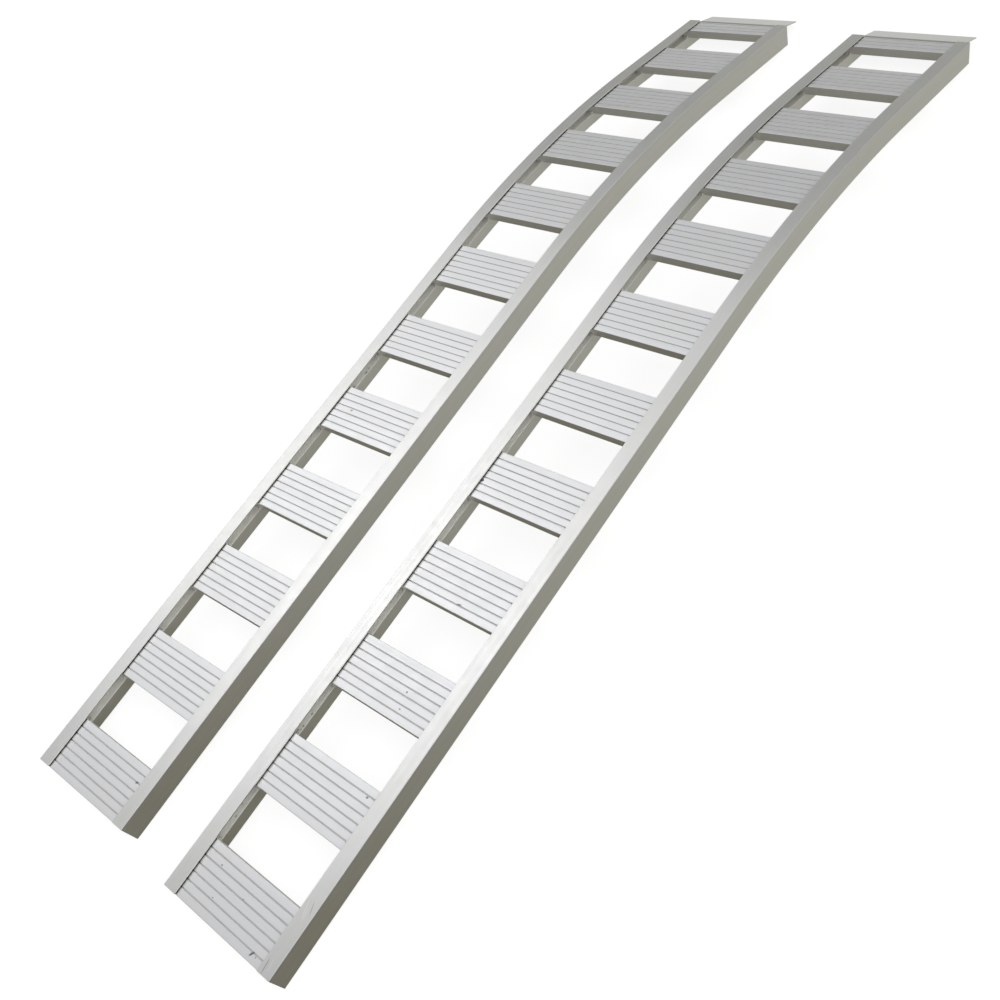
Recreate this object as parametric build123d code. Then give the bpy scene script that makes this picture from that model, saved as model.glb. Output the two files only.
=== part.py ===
from build123d import *
import math
import os

# Pair of arched aluminium loading ramps for a truck or trailer.
# Each ramp is a rigid weldment: two extruded side rails bent to an arch, twelve ribbed
# tread extrusions welded across them, and a lip plate at the top end.
#
# Frame: millimetres, +Z up. +X runs along the ramps from the bottom (ground) end to the top
# (lip) end, +Y is to the left when looking up the ramps. The ramps lie on the floor (z = 0)
# with the arch upwards. The origin is the middle of the pair's footprint, on the floor.

# ------------------------------------------------------------------ driving dimensions
RAMP_W = 280.0          # outer width of one ramp
RAIL_H = 48.0           # rail height
FLANGE_W = 30.0         # top flange, from the outer face inwards
FLANGE_T = 2.5          # top flange thickness
WEB_T = 3.0             # outer web thickness
BOX_W = 24.0            # lower box of the rail, outer face to inner face
LEDGE_N = -23.7         # ledge (top of the lower box) below the flange's top face
BOX_T = 2.5             # wall of the lower box
COVE_R = 4.0            # cove between web and ledge

STRAIGHT_LOW = 1357.0   # straight run of the rail from the bottom end
BEND_R = 2756.0         # radius of the bend, measured at the flange's top face
BEND_DEG = 14.34        # angle of the bend
STRAIGHT_TOP = 309.0    # straight run from the bend to the top end

TREADS = 12
TREAD_PITCH = 209.6     # front edge to front edge
TREAD_D = 106.0         # depth of a tread along the ramp
TREAD_TOP_N = -4.7      # tread surface below the flange's top face
TREAD_T = 2.8           # top plate of the tread, over the flats
TREAD_LEG_T = 2.6       # front and rear legs
TREAD_END_Y = 132.0     # tread end from the centre line, inside the rail's channel
BANDS = 7               # flat bands on a full tread
GROOVE_W = 2.6          # width of a groove at the surface
GROOVE_D = 1.3          # depth of a groove

LIP_W = 244.0
LIP_T = 3.0
LIP_LAP = 14.0          # part of the lip plate under the last tread
LIP_OUT = 76.0          # part of the lip plate beyond the rail ends
LIP_DEG = 11.0          # bend of the lip below the ramp's top run

RAMP_GAP_C = 432.3      # centre line to centre line of the two ramps at the bottom end
RAMP_B_X = -19.8        # the second ramp's bottom end, along X from the first one's
RAMP_B_YAW = -0.70      # degrees, the second ramp's heading

WELD_LEG = 4.5          # fillet weld leg on the treads
LIP_WELD_LEG = 3.5      # fillet weld leg under the lip plate

HALF_W = RAMP_W / 2
BEND_LEN = BEND_R * math.radians(BEND_DEG)
RAIL_LEN = STRAIGHT_LOW + BEND_LEN + STRAIGHT_TOP


# ------------------------------------------------------------------ arch line
def raw_path(s):
    """(x, z, slope) of the flange's top face at arc length s, bottom run along +X."""
    b = math.radians(BEND_DEG)
    if s <= STRAIGHT_LOW:
        return s, 0.0, 0.0
    if s <= STRAIGHT_LOW + BEND_LEN:
        a = (s - STRAIGHT_LOW) / BEND_R
        return STRAIGHT_LOW + BEND_R * math.sin(a), -BEND_R * (1 - math.cos(a)), -a
    r = s - STRAIGHT_LOW - BEND_LEN
    return (STRAIGHT_LOW + BEND_R * math.sin(b) + r * math.cos(b),
            -BEND_R * (1 - math.cos(b)) - r * math.sin(b), -b)


def raw_point(s, n):
    x, z, p = raw_path(s)
    return x - math.sin(p) * n, z + math.cos(p) * n


# both ends of the rails' undersides stand on the floor
_x0, _z0 = raw_point(0, -RAIL_H)
_x1, _z1 = raw_point(RAIL_LEN, -RAIL_H)
PITCH0 = -math.atan2(_z1 - _z0, _x1 - _x0)      # slope of the bottom run on the floor


def turn(x, z):
    c, s = math.cos(PITCH0), math.sin(PITCH0)
    return c * (x - _x0) - s * (z - _z0), s * (x - _x0) + c * (z - _z0)


def point(s, n=0.0):
    """(x, z) in the ramp's own frame: bottom corner of the rails at 0, 0."""
    return turn(*raw_point(s, n))


def slope(s):
    return raw_path(s)[2] + PITCH0


def section_plane(s):
    """Plane across the rail at s: local x is +Y, local y is up from the flange's top face."""
    x, z = point(s)
    p = slope(s)
    return Plane(origin=(x, 0, z), x_dir=(0, 1, 0), z_dir=(math.cos(p), 0, math.sin(p)))


# ------------------------------------------------------------------ side rails
def rail_section(side):
    """Closed profile of a rail in (Y, n). side +1 is the left rail, -1 the right rail."""
    yo = HALF_W                         # outer face
    yf = HALF_W - FLANGE_W              # flange edge
    yb = HALF_W - BOX_W                 # inner face of the lower box
    yw = HALF_W - WEB_T                 # inner face of the web
    g = []                              # three shallow lines along the flange
    for y in (yf + 22.0, yf + 15.0, yf + 8.0):
        g += [(y + 0.6, 0), (y, -0.5), (y - 0.6, 0)]
    outline = [(yo, -0.8), (yo - 0.8, 0)] + g + [
        (yf + 0.6, 0), (yf, -0.6), (yf, -FLANGE_T), (yw, -FLANGE_T)]
    cove = []
    for i in range(0, 7):
        a = math.radians(90 * i / 6)
        cove.append((yw - COVE_R * (1 - math.cos(a)), LEDGE_N + COVE_R * (1 - math.sin(a))))
    outline += cove
    outline += [(yb + 0.8, LEDGE_N), (yb, LEDGE_N - 0.8),
                (yb, -RAIL_H + 0.8), (yb + 0.8, -RAIL_H),
                (yo - 0.8, -RAIL_H), (yo, -RAIL_H + 0.8)]
    cavity = [(yo - BOX_T, LEDGE_N - BOX_T), (yb + BOX_T, LEDGE_N - BOX_T),
              (yb + BOX_T, -RAIL_H + BOX_T), (yo - BOX_T, -RAIL_H + BOX_T)]
    f = make_face([Edge.make_line((side * a[0], a[1], 0), (side * b[0], b[1], 0))
                   for a, b in zip(outline, outline[1:] + outline[:1])])
    c = make_face([Edge.make_line((side * a[0], a[1], 0), (side * b[0], b[1], 0))
                   for a, b in zip(cavity, cavity[1:] + cavity[:1])])
    return f - c


def rail(side):
    sec = rail_section(side)
    low = extrude(section_plane(0) * sec, STRAIGHT_LOW, dir=section_plane(0).z_dir)
    # the bend turns about a line along Y, below the rail
    pl = section_plane(STRAIGHT_LOW)
    cx, cz = point(STRAIGHT_LOW, -BEND_R)
    bend = revolve(pl * sec, Axis((cx, 0, cz), (0, 1, 0)), BEND_DEG)
    pt = section_plane(STRAIGHT_LOW + BEND_LEN)
    top = extrude(pt * sec, STRAIGHT_TOP, dir=pt.z_dir)
    body = low.fuse(bend).fuse(top)
    return solid_of(body)


def solid_of(shape):
    s = shape.solids()
    assert len(s) == 1, len(s)
    return s[0]


# ------------------------------------------------------------------ treads
def tread_outline(depth, rib_foot):
    """(u, w) profile of a tread: u along the ramp from the tread's front, w up from the ledge."""
    top = TREAD_TOP_N - LEDGE_N
    band = TREAD_D / BANDS
    pts = [(0, 0), (0, top - 1.0), (0.3, top - 0.3), (1.0, top)]
    for k in range(1, BANDS):
        u = band * k
        if u + GROOVE_W / 2 < depth - 1.0:
            pts += [(u - GROOVE_W / 2, top), (u - 0.35, top - GROOVE_D),
                    (u + 0.35, top - GROOVE_D), (u + GROOVE_W / 2, top)]
    full = depth > TREAD_D - 0.5
    under = top - TREAD_T
    ribs = [r for r in (TREAD_D / 3, 2 * TREAD_D / 3) if r < depth - 15]
    if full:
        pts += [(depth - 1.0, top), (depth - 0.3, top - 0.3), (depth, top - 1.0), (depth, 0),
                (depth - TREAD_LEG_T, 0), (depth - TREAD_LEG_T, under)]
    else:
        pts += [(depth - 0.5, top), (depth, top - 0.5), (depth, under)]
    for r in reversed(ribs):
        pts += [(r + 1.1, under), (r + 1.1, rib_foot), (r - 1.1, rib_foot), (r - 1.1, under)]
    pts += [(TREAD_LEG_T, under), (TREAD_LEG_T, 0)]
    return pts


def tread_plane(s_front, depth):
    """Plane of a tread: the feet stand on the ledge at both ends of the tread."""
    xa, za = point(s_front, LEDGE_N)
    xb, zb = point(s_front + depth, LEDGE_N)
    p = math.atan2(zb - za, xb - xa)
    curved = s_front + depth > STRAIGHT_LOW and s_front < STRAIGHT_LOW + BEND_LEN
    lift = 0.06 if curved else 0.0
    mx, mz = (xa + xb) / 2, (za + zb) / 2
    ox = mx - math.cos(p) * depth / 2 - math.sin(p) * lift
    oz = mz - math.sin(p) * depth / 2 + math.cos(p) * lift
    return Plane(origin=(ox, 0, oz), x_dir=(math.cos(p), 0, math.sin(p)), z_dir=(0, -1, 0))


def prism(plane, pts, y0, y1):
    """Profile pts in the plane (local z is -Y), extruded from y0 to y1."""
    f = make_face([Edge.make_line((a[0], a[1], 0), (b[0], b[1], 0))
                   for a, b in zip(pts, pts[1:] + pts[:1])])
    pl = Plane(origin=plane.origin + Vector(0, y1, 0), x_dir=plane.x_dir, z_dir=plane.z_dir)
    return solid_of(extrude(pl * f, y1 - y0, dir=(0, -1, 0)))


def tread_depth(k):
    return min(TREAD_D, RAIL_LEN - k * TREAD_PITCH)


def tread(k):
    d = tread_depth(k)
    full = d > TREAD_D - 0.5
    return prism(tread_plane(k * TREAD_PITCH, d), tread_outline(d, 0.6 if full else 0.0),
                 -TREAD_END_Y, TREAD_END_Y)


def fillet_bead(u, sign, leg):
    """(u, w) profile of a slightly crowned fillet weld against a face at u."""
    pts = [(u, 0), (u, leg)]
    for i in range(1, 4):
        t = i / 4
        pts.append((u + sign * leg * t + sign * 0.45 * math.sin(math.pi * t),
                    leg * (1 - t) + 0.45 * math.sin(math.pi * t)))
    pts.append((u + sign * leg, 0))
    return pts


def tread_welds():
    beads = []
    ya, yb = HALF_W - BOX_W + 1.0, TREAD_END_Y
    for k in range(TREADS):
        d = tread_depth(k)
        pl = tread_plane(k * TREAD_PITCH, d)
        ends = []
        if k > 0:
            ends.append((0.0, -1))
        if d > TREAD_D - 0.5:
            ends.append((d, 1))
        for u, sg in ends:
            prof = fillet_bead(u, sg, WELD_LEG)
            beads.append(prism(pl, prof, ya, yb))
            beads.append(prism(pl, prof, -yb, -ya))
    return beads


# ------------------------------------------------------------------ lip plate
def lip_plane():
    s = RAIL_LEN
    x, z = point(s, TREAD_TOP_N - TREAD_T)
    p = slope(s)
    return Plane(origin=(x, 0, z), x_dir=(math.cos(p), 0, math.sin(p)), z_dir=(0, -1, 0))


def lip():
    a = math.radians(LIP_DEG)
    h = LIP_T * math.tan(a / 2)
    ex, ez = LIP_OUT * math.cos(a), -LIP_OUT * math.sin(a)
    pts = [(-LIP_LAP, 0), (1.5, 0), (1.5 + ex, ez)]
    # the free edge is bevelled on top
    bx, bz = -math.sin(a), math.cos(a)
    pts = [(-LIP_LAP, 0), (1.5, 0),
           (1.5 + ex - 2.0 * math.cos(a), ez + 2.0 * math.sin(a)),
           (1.5 + ex - 1.4 * bx * 0.6, ez - 1.4 * bz * 0.6),
           (1.5 + ex - LIP_T * bx, ez - LIP_T * bz),
           (1.5 - h, -LIP_T), (-LIP_LAP, -LIP_T)]
    return prism(lip_plane(), pts, -LIP_W / 2, LIP_W / 2)


def lip_welds():
    """Stitch welds under the lip plate, against the last tread's rib."""
    pl = lip_plane()
    g = LIP_WELD_LEG
    pts = [(-LIP_LAP, -LIP_T), (-LIP_LAP, -LIP_T - g)]
    for i in range(1, 4):
        t = i / 4
        pts.append((-LIP_LAP + g * t + 0.4 * math.sin(math.pi * t),
                    -LIP_T - g * (1 - t) - 0.4 * math.sin(math.pi * t)))
    pts.append((-LIP_LAP + g, -LIP_T))
    return [prism(pl, pts, y0, y0 + 44.0) for y0 in (-102.0, -22.0, 58.0)]


# ------------------------------------------------------------------ one ramp, own frame
def ramp():
    parts = {"left_rail": rail(+1), "right_rail": rail(-1)}
    for k in range(TREADS):
        parts["tread_%02d" % (k + 1)] = tread(k)
    parts["top_lip"] = lip()
    parts["tread_welds"] = tread_welds()
    parts["lip_welds"] = lip_welds()
    return parts


rib_rear = TREAD_D / 3 + 1.1
assert abs((tread_depth(TREADS - 1) - LIP_LAP) - rib_rear) < 6.0, (tread_depth(TREADS - 1), rib_rear)
LIP_LAP = tread_depth(TREADS - 1) - rib_rear      # the lip's edge meets the rib

one = ramp()
loc_a = Location((0, 0, 0))
loc_b = Location((RAMP_B_X, -RAMP_GAP_C, 0), (0, 0, RAMP_B_YAW))

placed = {}
for prefix, loc in (("ramp_a_", loc_a), ("ramp_b_", loc_b)):
    for name, shape in one.items():
        if isinstance(shape, list):
            placed[prefix + name] = [loc * s for s in shape]
        else:
            placed[prefix + name] = [loc * shape]

# origin: middle of the footprint, on the floor
boxes = [s.bounding_box() for group in placed.values() for s in group]
lo = [min(getattr(b.min, c) for b in boxes) for c in "XYZ"]
hi = [max(getattr(b.max, c) for b in boxes) for c in "XYZ"]
shift = Location((-(lo[0] + hi[0]) / 2, -(lo[1] + hi[1]) / 2, -lo[2]))

os.makedirs("parts", exist_ok=True)
for name, group in placed.items():
    group = [shift * s for s in group]
    out = group[0] if len(group) == 1 else Compound(group)
    out.label = name
    export_step(out, "parts/%s.step" % name)

print("bottom run slope %.3f deg, top run slope %.3f deg" % (
    math.degrees(PITCH0), math.degrees(slope(RAIL_LEN))))
print("rail length %.1f, overall %.1f x %.1f x %.1f" % (
    RAIL_LEN, hi[0] - lo[0], hi[1] - lo[1], hi[2] - lo[2]))
print("shift", shift.position)
print("last tread depth %.2f, lip lap %.2f" % (tread_depth(TREADS - 1), LIP_LAP))
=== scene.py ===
import bpy
import bmesh
import math
import numpy as np
from mathutils import Matrix, Vector
from mathutils.geometry import delaunay_2d_cdt


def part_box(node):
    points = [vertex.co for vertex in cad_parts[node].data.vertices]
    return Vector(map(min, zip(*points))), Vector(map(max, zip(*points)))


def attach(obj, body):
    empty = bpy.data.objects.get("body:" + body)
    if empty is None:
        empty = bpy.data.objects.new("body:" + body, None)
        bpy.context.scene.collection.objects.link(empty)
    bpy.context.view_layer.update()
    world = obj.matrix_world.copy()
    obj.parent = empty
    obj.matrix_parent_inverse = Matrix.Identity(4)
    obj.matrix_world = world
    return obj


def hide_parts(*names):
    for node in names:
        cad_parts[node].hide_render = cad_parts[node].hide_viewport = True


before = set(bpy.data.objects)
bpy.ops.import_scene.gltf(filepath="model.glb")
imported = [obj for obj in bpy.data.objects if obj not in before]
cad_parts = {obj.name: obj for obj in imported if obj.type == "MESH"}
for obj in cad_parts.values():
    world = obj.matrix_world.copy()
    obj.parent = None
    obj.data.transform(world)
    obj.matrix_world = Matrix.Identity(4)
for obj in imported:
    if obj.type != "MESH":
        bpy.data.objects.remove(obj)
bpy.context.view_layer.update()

# ------------------------------------------------------------------ sizes, millimetres, as in the CAD
RAMP_W, RAIL_H, FLANGE_W, FLANGE_T, WEB_T = 280.0, 48.0, 30.0, 2.5, 3.0
BOX_W, LEDGE_N, BOX_T, COVE_R = 24.0, -23.7, 2.5, 4.0
STRAIGHT_LOW, BEND_R, BEND_DEG, STRAIGHT_TOP = 1357.0, 2756.0, 14.34, 309.0
TREADS, TREAD_PITCH, TREAD_D, TREAD_TOP_N, TREAD_T, TREAD_LEG_T = 12, 209.6, 106.0, -4.7, 2.8, 2.6
TREAD_END_Y, BANDS, GROOVE_W, GROOVE_D = 132.0, 7, 2.6, 1.3
LIP_W, LIP_T, LIP_OUT, LIP_DEG = 244.0, 3.0, 76.0, 11.0
RAMP_GAP_C, RAMP_B_X, RAMP_B_YAW = 432.3, -19.8, -0.70
WELD_LEG, LIP_WELD_LEG = 4.5, 3.5
HALF_W = RAMP_W / 2
BEND_LEN = BEND_R * math.radians(BEND_DEG)
RAIL_LEN = STRAIGHT_LOW + BEND_LEN + STRAIGHT_TOP


def raw_path(s):
    b = math.radians(BEND_DEG)
    if s <= STRAIGHT_LOW:
        return s, 0.0, 0.0
    if s <= STRAIGHT_LOW + BEND_LEN:
        a = (s - STRAIGHT_LOW) / BEND_R
        return STRAIGHT_LOW + BEND_R * math.sin(a), -BEND_R * (1 - math.cos(a)), -a
    r = s - STRAIGHT_LOW - BEND_LEN
    return (STRAIGHT_LOW + BEND_R * math.sin(b) + r * math.cos(b),
            -BEND_R * (1 - math.cos(b)) - r * math.sin(b), -b)


def raw_point(s, n):
    x, z, p = raw_path(s)
    return x - math.sin(p) * n, z + math.cos(p) * n


_x0, _z0 = raw_point(0, -RAIL_H)
_x1, _z1 = raw_point(RAIL_LEN, -RAIL_H)
PITCH0 = -math.atan2(_z1 - _z0, _x1 - _x0)


def point(s, n=0.0):
    x, z = raw_point(s, n)
    c, sn = math.cos(PITCH0), math.sin(PITCH0)
    return c * (x - _x0) - sn * (z - _z0), sn * (x - _x0) + c * (z - _z0)


def slope(s):
    return raw_path(s)[2] + PITCH0


# where the CAD has put ramp A: its rails' boxes give the shift from the ramp's own frame
_lo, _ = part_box("ramp_a_left_rail")
_rlo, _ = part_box("ramp_a_right_rail")
_, _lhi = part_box("ramp_a_left_rail")
SHIFT_X = _lo.x * 1000 - min(point(0, 0)[0], point(0, -RAIL_H)[0])
SHIFT_Y = (_lhi.y + _rlo.y) * 500


def place(ramp, x, y, z):
    if ramp == "b":
        a = math.radians(RAMP_B_YAW)
        x, y = (math.cos(a) * x - math.sin(a) * y + RAMP_B_X,
                math.sin(a) * x + math.cos(a) * y - RAMP_GAP_C)
    return ((x + SHIFT_X) / 1000, (y + SHIFT_Y) / 1000, z / 1000)


# ------------------------------------------------------------------ outlines
def rounded(corners, seg=3):
    """Closed outline through corners (a, b, radius), each turned with an arc of that radius."""
    out = []
    n = len(corners)
    for i, (a, b, r) in enumerate(corners):
        if r <= 0:
            out.append((a, b))
            continue
        p = np.array([a, b])
        q0 = np.array(corners[i - 1][:2])
        q1 = np.array(corners[(i + 1) % n][:2])
        u0, u1 = (q0 - p) / np.linalg.norm(q0 - p), (q1 - p) / np.linalg.norm(q1 - p)
        half = math.acos(max(-1, min(1, float(u0 @ u1)))) / 2
        if half > math.radians(88):
            out.append((a, b))
            continue
        t = r / math.tan(half)
        t = min(t, 0.48 * np.linalg.norm(q0 - p), 0.48 * np.linalg.norm(q1 - p))
        rr = t * math.tan(half)
        mid = (u0 + u1) / np.linalg.norm(u0 + u1)
        c = p + mid * (rr / math.sin(half))
        s0, s1 = p + u0 * t - c, p + u1 * t - c
        a0 = math.atan2(s0[1], s0[0])
        d = math.atan2(s0[0] * s1[1] - s0[1] * s1[0], float(s0 @ s1))
        for k in range(seg + 1):
            w = a0 + d * k / seg
            out.append((float(c[0] + rr * math.cos(w)), float(c[1] + rr * math.sin(w))))
    return out


def inset(loop, d):
    """The outline moved d to its left or right, towards its inside for an outer loop."""
    p = np.array(loop)
    area = 0.5 * float(np.sum(p[:, 0] * np.roll(p[:, 1], -1) - p[:, 1] * np.roll(p[:, 0], -1)))
    e = np.roll(p, -1, 0) - p
    e /= np.linalg.norm(e, axis=1, keepdims=True)
    nrm = np.stack([-e[:, 1], e[:, 0]], 1) * (1 if area > 0 else -1)
    m = nrm + np.roll(nrm, 1, 0)
    m /= np.linalg.norm(m, axis=1, keepdims=True)
    return [tuple(x) for x in p + m * d]


def inside(loop, x, y):
    hit = False
    for (ax, ay), (bx, by) in zip(loop, loop[1:] + loop[:1]):
        if (ay > y) != (by > y) and x < (bx - ax) * (y - ay) / (by - ay) + ax:
            hit = not hit
    return hit


def cap(bm, outlines, rings):
    """Closes a cut end: triangles between the outer outline and any holes in it."""
    pts = [Vector(q) for o in outlines for q in o]
    vs = [v for r in rings for v in r]
    edges, at = [], 0
    for o in outlines:
        edges += [(at + i, at + (i + 1) % len(o)) for i in range(len(o))]
        at += len(o)
    co, _, faces, orig, _, _ = delaunay_2d_cdt(pts, edges, [], 0, 1e-6)
    for f in faces:
        x, y = sum(co[i].x for i in f) / 3, sum(co[i].y for i in f) / 3
        if inside(outlines[0], x, y) and not any(inside(o, x, y) for o in outlines[1:]):
            bm.faces.new([vs[orig[i][0]] for i in f])


def loft(name, loops, stations, where, body, material, replaces, smooth_deg=32.0):
    """Skins closed loops along stations. stations: (position, inset) pairs. where(pos, a, b) gives
    the point in metres and its unbent place (along, across, up) in metres."""
    bm = bmesh.new()
    lay = bm.verts.layers.float_vector.new("rest")
    zon = bm.verts.layers.float_vector.new("zone")
    rings, flats = [], []
    for pos, ins in stations:
        ring = []
        flats.append([])
        for j, loop in enumerate(loops):
            pts = inset(loop, ins if j == 0 else -ins) if ins else loop
            flats[-1].append([tuple(q) for q in pts])
            vs = []
            for a, b in pts:
                co, rest, zone = where(pos, a, b)
                v = bm.verts.new(co)
                v[lay] = rest
                v[zon] = zone
                vs.append(v)
            ring.append(vs)
        rings.append(ring)
    for r0, r1 in zip(rings, rings[1:]):
        for l0, l1 in zip(r0, r1):
            n = len(l0)
            for i in range(n):
                k = (i + 1) % n
                bm.faces.new((l0[i], l0[k], l1[k], l1[i]))
    cap(bm, flats[0], rings[0])
    cap(bm, flats[-1], rings[-1])
    bmesh.ops.recalc_face_normals(bm, faces=bm.faces[:])
    return finish_mesh(bm, name, body, material, replaces, smooth_deg)


def finish_mesh(bm, name, body, material, replaces, smooth_deg):
    me = bpy.data.meshes.new(name)
    bm.to_mesh(me)
    bm.free()
    me.polygons.foreach_set("use_smooth", [True] * len(me.polygons))
    me.set_sharp_from_angle(angle=math.radians(smooth_deg))
    me.materials.append(material)
    ob = bpy.data.objects.new(name, me)
    bpy.context.scene.collection.objects.link(ob)
    wn = ob.modifiers.new("flat_faces", "WEIGHTED_NORMAL")
    wn.mode = "FACE_AREA"
    wn.weight = 100
    wn.keep_sharp = True
    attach(ob, body)
    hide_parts(*replaces)
    return ob


# ------------------------------------------------------------------ node helpers
def N(nt, kind, **kw):
    n = nt.nodes.new(kind)
    for k, v in kw.items():
        if k.startswith("i_"):
            key = k[2:]
            n.inputs[int(key) if key.isdigit() else key].default_value = v
        else:
            setattr(n, k, v)
    return n


def math_node(nt, op, a, b=None, c=None, clamp=False):
    n = nt.nodes.new("ShaderNodeMath")
    n.operation = op
    n.use_clamp = clamp
    for i, v in enumerate((a, b, c)):
        if v is None:
            continue
        if isinstance(v, (int, float)):
            n.inputs[i].default_value = v
        else:
            nt.links.new(v, n.inputs[i])
    return n.outputs[0]


def ramp_node(nt, fac, stops, interp="LINEAR"):
    n = nt.nodes.new("ShaderNodeValToRGB")
    n.color_ramp.interpolation = interp
    el = n.color_ramp.elements
    while len(el) < len(stops):
        el.new(0.5)
    for e, (p, c) in zip(el, stops):
        e.position = p
        e.color = (c, c, c, 1) if isinstance(c, (int, float)) else (*c, 1)
    nt.links.new(fac, n.inputs[0])
    return n.outputs[0]


def mix_col(nt, fac, a, b, mode="MIX"):
    n = nt.nodes.new("ShaderNodeMix")
    n.data_type = "RGBA"
    n.blend_type = mode
    n.clamp_factor = True
    for sock, v in ((n.inputs[0], fac), (n.inputs[6], a), (n.inputs[7], b)):
        if isinstance(v, (int, float)):
            sock.default_value = v
        elif isinstance(v, tuple):
            sock.default_value = (*v, 1)
        else:
            nt.links.new(v, sock)
    return n.outputs[2]


def scaled(nt, vec, sx, sy, sz, off=(0, 0, 0)):
    n = nt.nodes.new("ShaderNodeMapping")
    n.inputs["Scale"].default_value = (sx, sy, sz)
    n.inputs["Location"].default_value = off
    nt.links.new(vec, n.inputs["Vector"])
    return n.outputs[0]


def noise(nt, vec, scale=1.0, detail=3.0, rough=0.55, dist=0.0):
    n = nt.nodes.new("ShaderNodeTexNoise")
    n.inputs["Scale"].default_value = scale
    n.inputs["Detail"].default_value = detail
    n.inputs["Roughness"].default_value = rough
    n.inputs["Distortion"].default_value = dist
    nt.links.new(vec, n.inputs["Vector"])
    return n.outputs[0]


def spot(nt, vec, centre, rx, ry, turn=0.0):
    """Soft-edged ellipse round a place in the rest coordinates, 1 inside."""
    d = N(nt, "ShaderNodeVectorMath", operation="SUBTRACT")
    nt.links.new(vec, d.inputs[0])
    d.inputs[1].default_value = (centre[0], centre[1], 0)
    sp = N(nt, "ShaderNodeSeparateXYZ")
    nt.links.new(d.outputs[0], sp.inputs[0])
    c, s_ = math.cos(turn), math.sin(turn)
    a = math_node(nt, "MULTIPLY_ADD", sp.outputs[0], c / rx, math_node(nt, "MULTIPLY", sp.outputs[1], s_ / rx))
    b = math_node(nt, "MULTIPLY_ADD", sp.outputs[0], -s_ / ry, math_node(nt, "MULTIPLY", sp.outputs[1], c / ry))
    q = math_node(nt, "MULTIPLY_ADD", a, a, math_node(nt, "MULTIPLY", b, b))
    return math_node(nt, "MULTIPLY_ADD", q, -1.0, 1.5, clamp=True)


def between(nt, value, lo, hi, soft):
    """1 where lo < value < hi, with soft edges."""
    up = math_node(nt, "DIVIDE", math_node(nt, "SUBTRACT", value, lo), soft, clamp=True)
    dn = math_node(nt, "DIVIDE", math_node(nt, "SUBTRACT", hi, value), soft, clamp=True)
    return math_node(nt, "MULTIPLY", up, dn)


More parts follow.
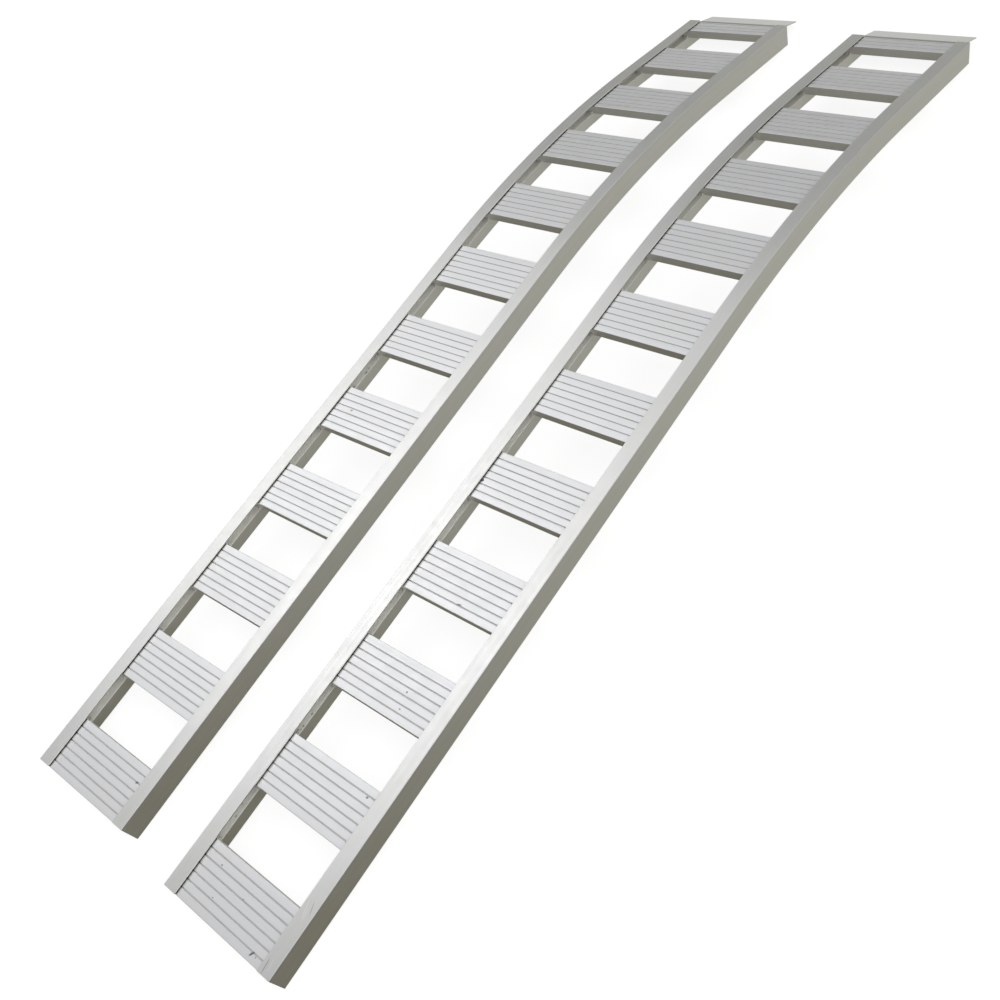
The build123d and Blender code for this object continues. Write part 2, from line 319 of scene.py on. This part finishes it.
def aluminium(name, tint, rough, along, line_bump, mottle, spec=True, metallic=0.82, marks=(), zone=None, lines=1.0):
    """Mill-finish aluminium. along: the axis of the unbent place that the extrusion lines follow."""
    m = bpy.data.materials.new(name)
    m.use_nodes = True
    nt = m.node_tree
    bsdf = nt.nodes["Principled BSDF"]
    bsdf.inputs["Metallic"].default_value = metallic
    at = N(nt, "ShaderNodeAttribute", attribute_name="rest").outputs["Vector"]
    # lines drawn out by the die: fine across, long along
    k = [900.0, 900.0, 900.0]
    k[along] = 0.9
    k2 = [210.0, 210.0, 210.0]
    k2[along] = 0.22
    k3 = [60.0, 60.0, 60.0]
    k3[along] = 0.15
    fine = noise(nt, scaled(nt, at, *k), 1.0, 2.0, 0.6)
    mid = noise(nt, scaled(nt, at, *k2, off=(3.1, 1.7, 5.3)), 1.0, 3.0, 0.55)
    wide = noise(nt, scaled(nt, at, *k3, off=(7.7, 2.9, 0.4)), 1.0, 2.0, 0.5)
    # cloudy oxide and handling marks
    cloud = noise(nt, at, 7.0, 4.0, 0.6, 0.4)
    patch = noise(nt, scaled(nt, at, 1, 1, 1, off=(11, 3, 8)), 34.0, 4.0, 0.65, 0.6)
    grain = noise(nt, at, 420.0, 2.0, 0.6)
    streak = math_node(nt, "MULTIPLY_ADD", math_node(nt, "SUBTRACT", mid, 0.5), 0.10 * lines,
                       math_node(nt, "MULTIPLY", math_node(nt, "SUBTRACT", wide, 0.5), 0.07 * lines))
    blot = math_node(nt, "MULTIPLY_ADD", math_node(nt, "SUBTRACT", cloud, 0.5), mottle,
                     math_node(nt, "MULTIPLY", math_node(nt, "SUBTRACT", patch, 0.5), mottle * 0.55))
    gr = math_node(nt, "MULTIPLY", math_node(nt, "SUBTRACT", grain, 0.5), 0.06)
    val = math_node(nt, "ADD", math_node(nt, "ADD", streak, blot), gr)
    val = math_node(nt, "ADD", val, 1.0)
    # small dark specks and scuffs
    vor = N(nt, "ShaderNodeTexVoronoi", feature="F1")
    vor.inputs["Scale"].default_value = 15.0
    vor.inputs["Randomness"].default_value = 1.0
    nt.links.new(at, vor.inputs["Vector"])
    cell = N(nt, "ShaderNodeSeparateColor")
    nt.links.new(vor.outputs["Color"], cell.inputs[0])
    rare = math_node(nt, "GREATER_THAN", cell.outputs[0], 0.80)
    size = math_node(nt, "MULTIPLY_ADD", cell.outputs[1], 0.020, 0.006)
    dot = math_node(nt, "LESS_THAN", vor.outputs["Distance"], size)
    speck = math_node(nt, "MULTIPLY", math_node(nt, "MULTIPLY", dot, rare), 0.55 if spec else 0.0)
    # thin scratches in random directions
    sc = N(nt, "ShaderNodeTexVoronoi", feature="DISTANCE_TO_EDGE")
    sc.inputs["Scale"].default_value = 9.0
    nt.links.new(scaled(nt, at, 1.0, 1.0, 1.0, off=(2.3, 9.1, 4.4)), sc.inputs["Vector"])
    thin = math_node(nt, "LESS_THAN", sc.outputs["Distance"], 0.0035)
    mask = math_node(nt, "GREATER_THAN", noise(nt, scaled(nt, at, 1, 1, 1, off=(5, 5, 1)), 6.0, 1.0), 0.60)
    scratch = math_node(nt, "MULTIPLY", math_node(nt, "MULTIPLY", thin, mask), 0.22)
    base = N(nt, "ShaderNodeVectorMath", operation="SCALE")
    base.inputs[0].default_value = tint
    nt.links.new(val, base.inputs["Scale"])
    warm = mix_col(nt, math_node(nt, "MULTIPLY", math_node(nt, "SUBTRACT", cloud, 0.42), 1.3, clamp=True),
                   base.outputs[0], (tint[0] * 0.93, tint[1] * 0.925, tint[2] * 0.88))
    wear_and_painted_light = mix_col(nt, speck, warm, (0.16, 0.155, 0.15))
    wear_and_painted_light = mix_col(nt, scratch, wear_and_painted_light, (0.95, 0.95, 0.95))
    for centre, rx, ry, turn, amount, colour in marks:
        m_ = math_node(nt, "MULTIPLY", spot(nt, at, centre, rx, ry, turn), amount)
        wear_and_painted_light = mix_col(nt, m_, wear_and_painted_light, colour)
        speck = math_node(nt, "MAXIMUM", speck, math_node(nt, "MULTIPLY", m_, 0.6))
    zr = None
    if zone:
        zn = N(nt, "ShaderNodeAttribute", attribute_name="zone").outputs["Vector"]
        zs = N(nt, "ShaderNodeSeparateXYZ")
        nt.links.new(zn, zs.inputs[0])
        # the zone functions add painted light and painted shade to this colour
        wear_and_painted_light, zr, zm = zone(nt, zs, wear_and_painted_light, at)
        if zm is not None:
            nt.links.new(math_node(nt, "MULTIPLY_ADD", zm, -0.76, metallic), bsdf.inputs["Metallic"])
    nt.links.new(wear_and_painted_light, bsdf.inputs["Base Color"])
    r = math_node(nt, "MULTIPLY_ADD", math_node(nt, "SUBTRACT", mid, 0.5), 0.16, rough)
    r = math_node(nt, "MULTIPLY_ADD", math_node(nt, "SUBTRACT", patch, 0.5), 0.14, r)
    r = math_node(nt, "ADD", r, math_node(nt, "MULTIPLY", speck, 0.3), clamp=True)
    if zr is not None:
        r = math_node(nt, "ADD", r, zr, clamp=True)
    nt.links.new(r, bsdf.inputs["Roughness"])
    h = math_node(nt, "MULTIPLY_ADD", fine, 0.6, math_node(nt, "MULTIPLY", mid, 0.35))
    h = math_node(nt, "MULTIPLY_ADD", grain, 0.25, h)
    h = math_node(nt, "MULTIPLY_ADD", speck, -1.2, h)
    h = math_node(nt, "MULTIPLY_ADD", scratch, -1.0, h)
    bump = N(nt, "ShaderNodeBump")
    bump.inputs["Strength"].default_value = line_bump
    bump.inputs["Distance"].default_value = 0.00025
    nt.links.new(h, bump.inputs["Height"])
    nt.links.new(bump.outputs[0], bsdf.inputs["Normal"])
    return m


def rail_zone(nt, zs, col, at):
    """Inside the channel the ledge is matt and less metallic; its pale colour is painted light, fading darker up the
    rail as painted shade. Dark spots lie on the ledge.
    """
    ay = math_node(nt, "ABSOLUTE", zs.outputs[1])
    ledge = math_node(nt, "MULTIPLY", between(nt, zs.outputs[2], -0.0242, -0.0022, 0.0006),
                      between(nt, ay, 0.1150, 0.1385, 0.0008))
    # painted light and shade: the ledge colour runs from pale at the low end to darker up the rail
    ledge_shade_fade = math_node(nt, "DIVIDE", math_node(nt, "SUBTRACT", zs.outputs[0], 0.9), 1.3, clamp=True)
    pale = mix_col(nt, ledge_shade_fade, (0.98, 0.98, 0.96), (0.62, 0.62, 0.58))
    # lays the painted pale ledge colour over the channel's ledge
    col = mix_col(nt, math_node(nt, "MULTIPLY", ledge, 0.9), col, pale)
    on_ledge = math_node(nt, "MULTIPLY", ledge, between(nt, zs.outputs[2], -0.026, -0.021, 0.001))
    for centre, rx, ry, amount in ledge_marks:
        m_ = math_node(nt, "MULTIPLY", math_node(nt, "MULTIPLY", spot(nt, at, centre, rx, ry), on_ledge), amount)
        col = mix_col(nt, m_, col, (0.10, 0.10, 0.095))
    return col, math_node(nt, "MULTIPLY", ledge, 0.22), ledge


def tread_zone(nt, zs, col, at):
    """Painted shade: the tread top in the gap under the rails' flanges is painted near black, and the bottoms of the
    grooves are painted darker.
    """
    ay = math_node(nt, "ABSOLUTE", zs.outputs[1])
    w = zs.outputs[2]
    top = (TREAD_TOP_N - LEDGE_N) / 1000
    # painted shade: the part of the tread top that the flange overhangs
    flange_gap_shade = math_node(nt, "MULTIPLY", between(nt, ay, 0.1094, 0.1400, 0.0009),
                     between(nt, w, top - 0.0016, top + 0.01, 0.0003))
    groove = between(nt, w, top - 0.0016, top - 0.0001, 0.0005)
    inside = between(nt, zs.outputs[0], 0.006, 0.100, 0.001)
    g = math_node(nt, "MULTIPLY", math_node(nt, "MULTIPLY", groove, inside), 0.48)
    # painted shade: groove bottoms darkened where the groove walls shade them
    col = mix_col(nt, g, col, (0.30, 0.30, 0.27))
    # painted shade: near-black colour under the flanges
    col = mix_col(nt, math_node(nt, "MULTIPLY", flange_gap_shade, 0.93), col, (0.035, 0.035, 0.04))
    return col, math_node(nt, "MULTIPLY", math_node(nt, "MAXIMUM", flange_gap_shade, g), 0.35), None


def lip_zone(nt, zs, col, at):
    """Painted shade: a dark band on the lip right behind the last tread, where the tread shades it."""
    step_shade = between(nt, zs.outputs[0], -0.02, 0.0235, 0.004)
    # painted shade behind the last tread
    col = mix_col(nt, math_node(nt, "MULTIPLY", step_shade, 0.68), col, (0.20, 0.20, 0.18))
    return col, math_node(nt, "MULTIPLY", step_shade, 0.2), None


DARK, PALE = (0.13, 0.125, 0.12), (0.97, 0.97, 0.97)


def on_tread(ramp, k, s, y):
    return (s / 1000, y / 1000 + k * 0.83 + (0.0 if ramp == "a" else 17.0))


tread_marks = [(on_tread("a", 0, 75, -96), 0.0020, 0.0028, 0.5, 0.9, DARK),
               (on_tread("b", 0, 12, -82), 0.0050, 0.0018, -0.5, 0.85, DARK),
               (on_tread("b", 0, 12, -92), 0.0014, 0.0014, 0.0, 0.5, DARK),
               (on_tread("b", 0, 80, 68), 0.0014, 0.0018, 0.0, 0.7, DARK),
               (on_tread("b", 0, 62, -8), 0.0013, 0.0020, 0.4, 0.5, DARK),
               (on_tread("b", 0, 34, 44), 0.0013, 0.0016, 0.0, 0.5, DARK),
               (on_tread("b", 1, 297, -91), 0.0018, 0.0026, 0.3, 0.7, DARK),
               (on_tread("b", 2, 472, -34), 0.0018, 0.0018, 0.0, 0.7, DARK),
               (on_tread("b", 2, 442, -42), 0.0014, 0.0018, 0.0, 0.6, DARK),
               (on_tread("b", 3, 646, -16), 0.0014, 0.0055, 0.2, 0.6, DARK),
               (on_tread("b", 4, 876, 107.5), 0.0032, 0.0026, 0.0, 0.9, (0.12, 0.085, 0.045)),
               (on_tread("a", 4, 894, 62), 0.0020, 0.0026, 0.3, 0.6, DARK),
               (on_tread("a", 4, 883, 43), 0.0012, 0.0018, 0.0, 0.4, DARK)]
RB = 4.1
RL_B = 2.9
rail_marks = [((0.110 + RB, -0.120), 0.014, 0.0007, 0.25, 0.7, PALE),
              ((0.104 + RB, -0.125), 0.012, 0.0006, 0.15, 0.7, PALE),
              ((0.118 + RB, -0.129), 0.010, 0.0006, 0.32, 0.5, DARK),
              ((0.013 + RB, -0.119), 0.012, 0.0008, 0.10, 0.5, DARK),
              ((0.020 + RB, -0.126), 0.010, 0.0006, 0.22, 0.7, PALE)]
ledge_marks = [((0.322 + RL_B, 0.1245), 0.0030, 0.0020, 0.8), ((0.333 + RL_B, 0.1200), 0.0022, 0.0016, 0.7),
               ((0.326 + RL_B, 0.1195), 0.0020, 0.0014, 0.6), ((0.358 + RL_B, 0.1205), 0.0024, 0.0018, 0.7),
               ((0.150 + RL_B, 0.1215), 0.0024, 0.0018, 0.5), ((0.172 + RL_B, 0.1260), 0.0018, 0.0014, 0.5),
               ((0.997, 0.1203), 0.0032, 0.0022, 0.8), ((1.009, 0.1223), 0.0020, 0.0016, 0.6),
               ((0.955, 0.1226), 0.0030, 0.0022, 0.8), ((0.948, 0.1260), 0.0026, 0.0018, 0.7)]
rail_mat = aluminium("rail_aluminium", (0.765, 0.765, 0.75), 0.35, 0, 0.012, 0.10, marks=rail_marks, zone=rail_zone, lines=1.1)
tread_mat = aluminium("tread_aluminium", (0.915, 0.92, 0.93), 0.43, 1, 0.07, 0.07, metallic=0.74, marks=tread_marks, zone=tread_zone)
lip_mat = aluminium("lip_aluminium", (0.95, 0.955, 0.95), 0.42, 0, 0.10, 0.11, zone=lip_zone)
weld_mat = aluminium("weld_aluminium", (0.70, 0.70, 0.69), 0.55, 1, 0.6, 0.40)

# ------------------------------------------------------------------ rails
def rail_loops(side):
    yo, yf, yb, yw = HALF_W, HALF_W - FLANGE_W, HALF_W - BOX_W, HALF_W - WEB_T
    c = [(yo, 0, 0.9)]
    for y in (yf + 22.0, yf + 15.0, yf + 8.0):
        c += [(y + 1.05, 0, 0.5), (y + 0.25, -0.05, 0.2), (y - 0.25, -0.05, 0.2), (y - 1.05, 0, 0.5)]
    c += [(yf, 0, 0.6), (yf, -FLANGE_T, 0.5), (yw, -FLANGE_T, 1.6), (yw, LEDGE_N, COVE_R),
          (yb, LEDGE_N, 0.9), (yb, -RAIL_H, 0.9), (yo, -RAIL_H, 0.9)]
    outer = rounded(c, 3)
    inner = rounded([(yo - BOX_T, LEDGE_N - BOX_T, 1.0), (yo - BOX_T, -RAIL_H + BOX_T, 1.0),
                     (yb + BOX_T, -RAIL_H + BOX_T, 1.0), (yb + BOX_T, LEDGE_N - BOX_T, 1.0)], 2)
    return [[(side * a, b) for a, b in outer], [(side * a, b) for a, b in inner]]


def rail_stations():
    st = [(0.0, 0.15), (0.15, 0.0)]
    s = 60.0
    while s < STRAIGHT_LOW - 20:
        st.append((s, 0.0))
        s += 90.0
    n = 48
    st += [(STRAIGHT_LOW + BEND_LEN * i / n, 0.0) for i in range(n + 1)]
    st += [(STRAIGHT_LOW + BEND_LEN + STRAIGHT_TOP * i / 4, 0.0) for i in range(1, 4)]
    st += [(RAIL_LEN - 0.15, 0.0), (RAIL_LEN, 0.15)]
    return st


def make_rail(ramp, side):
    seed = {("a", 1): 0.0, ("a", -1): 1.3, ("b", 1): 2.9, ("b", -1): 4.1}[ramp, side]

    def where(s, y, n):
        x, z = point(s, n)
        return (place(ramp, x, y, z), (s / 1000 + seed, y / 1000, n / 1000 + seed),
                (s / 1000, y / 1000, n / 1000))

    which = "left" if side > 0 else "right"
    return loft(f"{which}_rail_{ramp}", rail_loops(side), rail_stations(), where, "ramp_" + ramp,
                rail_mat, [f"ramp_{ramp}_{which}_rail"])


# ------------------------------------------------------------------ treads
def tread_depth(k):
    return min(TREAD_D, RAIL_LEN - k * TREAD_PITCH)


def tread_frame(s_front, depth):
    xa, za = point(s_front, LEDGE_N)
    xb, zb = point(s_front + depth, LEDGE_N)
    p = math.atan2(zb - za, xb - xa)
    curved = s_front + depth > STRAIGHT_LOW and s_front < STRAIGHT_LOW + BEND_LEN
    lift = 0.06 if curved else 0.0
    mx, mz = (xa + xb) / 2, (za + zb) / 2
    return (mx - math.cos(p) * depth / 2 - math.sin(p) * lift,
            mz - math.sin(p) * depth / 2 + math.cos(p) * lift, p)


def tread_loop(depth):
    top = TREAD_TOP_N - LEDGE_N
    band = TREAD_D / BANDS
    full = depth > TREAD_D - 0.5
    c = [(0, 0, 0.4), (0, top, 1.1)]
    for k in range(1, BANDS):
        u = band * k
        if u + GROOVE_W / 2 < depth - 1.0:
            c += [(u - GROOVE_W / 2, top, 0.35), (u - 0.7, top - GROOVE_D, 0.35),
                  (u + 0.7, top - GROOVE_D, 0.35), (u + GROOVE_W / 2, top, 0.35)]
    under = top - TREAD_T
    ribs = [r for r in (TREAD_D / 3, 2 * TREAD_D / 3) if r < depth - 15]
    if full:
        c += [(depth, top, 1.1), (depth, 0, 0.4), (depth - TREAD_LEG_T, 0, 0.4),
              (depth - TREAD_LEG_T, under, 1.2)]
        foot = 0.6
    else:
        c += [(depth, top, 0.5), (depth, under, 0.4)]
        foot = 0.0
    for r in reversed(ribs):
        c += [(r + 1.1, under, 1.0), (r + 1.1, foot, 0.4), (r - 1.1, foot, 0.4), (r - 1.1, under, 1.0)]
    c += [(TREAD_LEG_T, under, 1.2), (TREAD_LEG_T, 0, 0.4)]
    return rounded(c, 3)


def make_tread(ramp, k):
    d = tread_depth(k)
    ox, oz, p = tread_frame(k * TREAD_PITCH, d)
    seed = k * 0.83 + (0.0 if ramp == "a" else 17.0)

    def where(y, u, w):
        x = ox + math.cos(p) * u - math.sin(p) * w
        z = oz + math.sin(p) * u + math.cos(p) * w
        return (place(ramp, x, y, z), ((k * TREAD_PITCH + u) / 1000, y / 1000 + seed, (LEDGE_N + w) / 1000),
                (u / 1000, y / 1000, w / 1000))

    e = TREAD_END_Y
    st = [(-e, 0.18), (-e + 0.18, 0.0)] + [(y, 0.0) for y in (-88.0, -44.0, 0.0, 44.0, 88.0)] + [(e - 0.18, 0.0), (e, 0.18)]
    return loft(f"tread_{k + 1:02d}_{ramp}", [tread_loop(d)], st, where, "ramp_" + ramp,
                tread_mat, [f"ramp_{ramp}_tread_{k + 1:02d}"])


# ------------------------------------------------------------------ lip plate
LIP_LAP = tread_depth(TREADS - 1) - (TREAD_D / 3 + 1.1)


def lip_frame():
    x, z = point(RAIL_LEN, TREAD_TOP_N - TREAD_T)
    return x, z, slope(RAIL_LEN)


def make_lip(ramp):
    a = math.radians(LIP_DEG)
    h = LIP_T * math.tan(a / 2)
    ex, ez = LIP_OUT * math.cos(a), -LIP_OUT * math.sin(a)
    bx, bz = -math.sin(a), math.cos(a)
    c = [(-LIP_LAP, 0, 0.4), (1.5, 0, 7.0),
         (1.5 + ex - 2.0 * math.cos(a), ez + 2.0 * math.sin(a), 0.5),
         (1.5 + ex - 0.84 * bx, ez - 0.84 * bz, 0.4),
         (1.5 + ex - LIP_T * bx, ez - LIP_T * bz, 0.5),
         (1.5 - h, -LIP_T, 10.0), (-LIP_LAP, -LIP_T, 0.4)]
    loop = rounded(c, 6)
    ox, oz, p = lip_frame()
    seed = 3.7 if ramp == "a" else 9.2

    def where(y, u, w):
        x = ox + math.cos(p) * u - math.sin(p) * w
        z = oz + math.sin(p) * u + math.cos(p) * w
        return (place(ramp, x, y, z), ((RAIL_LEN + u) / 1000 + seed, y / 1000, w / 1000),
                (u / 1000, y / 1000, w / 1000))

    e = LIP_W / 2
    st = [(-e, 0.28), (-e + 0.12, 0.10), (-e + 0.3, 0.0), (-60.0, 0.0), (0.0, 0.0), (60.0, 0.0),
          (e - 0.3, 0.0), (e - 0.12, 0.10), (e, 0.28)]
    return loft(f"lip_{ramp}", [loop], st, where, "ramp_" + ramp, lip_mat,
                [f"ramp_{ramp}_top_lip"])


# ------------------------------------------------------------------ welds
def bead(bm, lay, ramp, ox, oz, p, u, w0, sign, wsign, y0, y1, leg, seed, pitch=1.9, crown=0.6):
    """One rippled fillet bead: legs against the faces u and w0, scalloped along Y."""
    n = max(6, int(round((y1 - y0) / pitch * 6)))
    rings = []
    for i in range(n + 1):
        t = i / n
        y = y0 + (y1 - y0) * t
        ph = (y / pitch) % 1.0
        rip = 0.16 * (1 - ph) ** 1.5 + 0.05 * math.sin(seed + y * 0.9)
        end = min(1.0, math.sqrt(max(0.0, min(t, 1 - t)) / 0.10 + 0.02))
        lg = leg * (0.90 + 0.07 * math.sin(seed * 2 + y * 0.7) + rip * 0.35) * (0.45 + 0.55 * end)
        ring = []
        m = 7
        for j in range(m + 1):
            q = j / m
            a, b = lg * (1 - q), lg * q
            out = (crown + rip) * math.sin(math.pi * q) * (0.4 + 0.6 * end)
            a, b = a + out * 0.707, b + out * 0.707
            uu, ww = u + sign * a, w0 + wsign * b
            x = ox + math.cos(p) * uu - math.sin(p) * ww
            z = oz + math.sin(p) * uu + math.cos(p) * ww
            v = bm.verts.new(place(ramp, x, y, z))
            v[lay] = (uu / 1000 + seed, y / 1000, ww / 1000)
            ring.append(v)
        uu, ww = u - sign * 0.15, w0 - wsign * 0.15
        x = ox + math.cos(p) * uu - math.sin(p) * ww
        z = oz + math.sin(p) * uu + math.cos(p) * ww
        v = bm.verts.new(place(ramp, x, y, z))
        v[lay] = (uu / 1000 + seed, y / 1000, ww / 1000)
        ring.append(v)
        rings.append(ring)
    for r0, r1 in zip(rings, rings[1:]):
        for i in range(len(r0)):
            k = (i + 1) % len(r0)
            bm.faces.new((r0[i], r0[k], r1[k], r1[i]))
    bm.faces.new(rings[0])
    bm.faces.new(rings[-1])


def make_tread_welds(ramp):
    bm = bmesh.new()
    lay = bm.verts.layers.float_vector.new("rest")
    ya, yb = HALF_W - BOX_W + 1.0, TREAD_END_Y
    for k in range(TREADS):
        d = tread_depth(k)
        ox, oz, p = tread_frame(k * TREAD_PITCH, d)
        ends = []
        if k > 0:
            ends.append((0.0, -1))
        if d > TREAD_D - 0.5:
            ends.append((d, 1))
        for u, sg in ends:
            for y0, y1 in ((ya, yb), (-yb, -ya)):
                bead(bm, lay, ramp, ox, oz, p, u, 0.0, sg, 1, y0, y1, WELD_LEG,
                     1.7 * k + (0.6 if sg > 0 else 0.1) + (2.2 if y0 < 0 else 0))
    bmesh.ops.recalc_face_normals(bm, faces=bm.faces[:])
    return finish_mesh(bm, f"tread_welds_{ramp}", "ramp_" + ramp, weld_mat,
                       [f"ramp_{ramp}_tread_welds"], 50)


def make_lip_welds(ramp):
    bm = bmesh.new()
    lay = bm.verts.layers.float_vector.new("rest")
    ox, oz, p = lip_frame()
    for y0 in (-102.0, -22.0, 58.0):
        bead(bm, lay, ramp, ox, oz, p, -LIP_LAP, -LIP_T, 1, -1, y0, y0 + 44.0, LIP_WELD_LEG, y0 * 0.1)
    bmesh.ops.recalc_face_normals(bm, faces=bm.faces[:])
    return finish_mesh(bm, f"lip_welds_{ramp}", "ramp_" + ramp, weld_mat,
                       [f"ramp_{ramp}_lip_welds"], 50)


for _r in "ab":
    make_rail(_r, 1)
    make_rail(_r, -1)
    for _k in range(TREADS):
        make_tread(_r, _k)
    make_lip(_r)
    make_tread_welds(_r)
    make_lip_welds(_r)

# ------------------------------------------------------------------ camera
R = [(0.5785069, -0.7442064, -0.3338959), (-0.7389226, -0.3047947, -0.6009107), (0.3454319, 0.5943542, -0.7262368)]
C = (-1.0641, -1.3692, 1.57287)
cam = bpy.data.cameras.new("camera")
cam_ob = bpy.data.objects.new("camera", cam)
bpy.context.scene.collection.objects.link(cam_ob)
cam.sensor_width = 36.0
cam.lens = 1118.5 * 36.0 / 1000.0
cam.clip_end = 60.0
M = Matrix.Identity(4)
for i in range(3):
    M[i][0], M[i][1], M[i][2], M[i][3] = R[0][i], -R[1][i], -R[2][i], C[i]
cam_ob.matrix_world = M
bpy.context.scene.camera = cam_ob

# ------------------------------------------------------------------ floor
bm = bmesh.new()
bmesh.ops.create_grid(bm, x_segments=8, y_segments=8, size=9.0)
me = bpy.data.meshes.new("floor")
bm.to_mesh(me)
bm.free()
floor = bpy.data.objects.new("floor", me)
bpy.context.scene.collection.objects.link(floor)
floor.location = (0, 0, -0.0002)
fm = bpy.data.materials.new("floor_paper")
fm.use_nodes = True
nt = fm.node_tree
nt.nodes.remove(nt.nodes["Principled BSDF"])
out = nt.nodes["Material Output"]
dif = N(nt, "ShaderNodeBsdfDiffuse")
dif.inputs["Color"].default_value = (0.9, 0.9, 0.9, 1)
em = N(nt, "ShaderNodeEmission")
em.inputs["Color"].default_value = (1, 1, 1, 1)
em.inputs["Strength"].default_value = 1.215
mixs = N(nt, "ShaderNodeMixShader")
mixs.inputs[0].default_value = 0.72
nt.links.new(dif.outputs[0], mixs.inputs[1])
nt.links.new(em.outputs[0], mixs.inputs[2])
# seen from below, the floor lets the ramps' undersides show
under = N(nt, "ShaderNodeMixShader")
clear = N(nt, "ShaderNodeBsdfTransparent")
geo = N(nt, "ShaderNodeNewGeometry")
nt.links.new(geo.outputs["Backfacing"], under.inputs[0])
nt.links.new(mixs.outputs[0], under.inputs[1])
nt.links.new(clear.outputs[0], under.inputs[2])
nt.links.new(under.outputs[0], out.inputs["Surface"])
me.materials.append(fm)
floor.visible_glossy = False
floor.visible_diffuse = False

# ------------------------------------------------------------------ soft studio light
w = bpy.data.worlds.new("studio")
bpy.context.scene.world = w
w.use_nodes = True
nt = w.node_tree
bg = nt.nodes["Background"]
tc = N(nt, "ShaderNodeTexCoord")
nrm = N(nt, "ShaderNodeVectorMath", operation="NORMALIZE")
nt.links.new(tc.outputs["Generated"], nrm.inputs[0])
D = nrm.outputs[0]
sep = N(nt, "ShaderNodeSeparateXYZ")
nt.links.new(D, sep.inputs[0])


def lobe(direction, lo, hi, colour, strength):
    d = Vector(direction).normalized()
    dot = N(nt, "ShaderNodeVectorMath", operation="DOT_PRODUCT")
    nt.links.new(D, dot.inputs[0])
    dot.inputs[1].default_value = d
    mr = N(nt, "ShaderNodeMapRange", interpolation_type="SMOOTHSTEP")
    mr.inputs["From Min"].default_value = lo
    mr.inputs["From Max"].default_value = hi
    nt.links.new(dot.outputs["Value"], mr.inputs["Value"])
    sc = N(nt, "ShaderNodeVectorMath", operation="SCALE")
    sc.inputs[0].default_value = tuple(c * strength for c in colour)
    nt.links.new(mr.outputs[0], sc.inputs["Scale"])
    return sc.outputs[0]


def smooth(value, lo, hi):
    mr = N(nt, "ShaderNodeMapRange", interpolation_type="SMOOTHSTEP")
    mr.inputs["From Min"].default_value = lo
    mr.inputs["From Max"].default_value = hi
    nt.links.new(value, mr.inputs["Value"])
    return mr.outputs[0]


sky = mix_col(nt, smooth(sep.outputs["Z"], 0.0, 0.9), (0.275, 0.277, 0.256), (0.40, 0.404, 0.42))
ground = mix_col(nt, smooth(sep.outputs["X"], -0.15, 0.60), (0.102, 0.091, 0.052), (0.455, 0.455, 0.41))
tot = mix_col(nt, smooth(sep.outputs["Z"], -0.10, 0.06), ground, sky)
for args in (((0.1366, 0.70, 0.8167), 0.955, 1.0, (1.0, 1.0, 1.01), 2.05),
             ((0.42, 0.45, 0.80), 0.955, 1.0, (1.0, 1.0, 1.0), 0.42),
             ((-0.85, 0.50, -0.15), 0.80, 1.0, (1.0, 1.0, 0.98), 0.10),
             ((0.05, -0.80, 0.58), 0.55, 1.0, (1.0, 0.99, 0.92), 0.92),
             ((0.85, 0.50, -0.16), 0.93, 0.995, (1.0, 1.0, 0.99), 0.30)):
    a = N(nt, "ShaderNodeVectorMath", operation="ADD")
    nt.links.new(tot, a.inputs[0])
    nt.links.new(lobe(*args), a.inputs[1])
    tot = a.outputs[0]
nt.links.new(tot, bg.inputs["Color"])
bg.inputs["Strength"].default_value = 1.0
pale = N(nt, "ShaderNodeBackground")
pale.inputs["Color"].default_value = (0.93, 0.93, 0.93, 1)
path = N(nt, "ShaderNodeLightPath")
pick = N(nt, "ShaderNodeMixShader")
nt.links.new(path.outputs["Is Camera Ray"], pick.inputs[0])
nt.links.new(bg.outputs[0], pick.inputs[1])
nt.links.new(pale.outputs[0], pick.inputs[2])
nt.links.new(pick.outputs[0], nt.nodes["World Output"].inputs["Surface"])

vs = bpy.context.scene.view_settings
vs.view_transform = "Standard"
vs.look = "None"
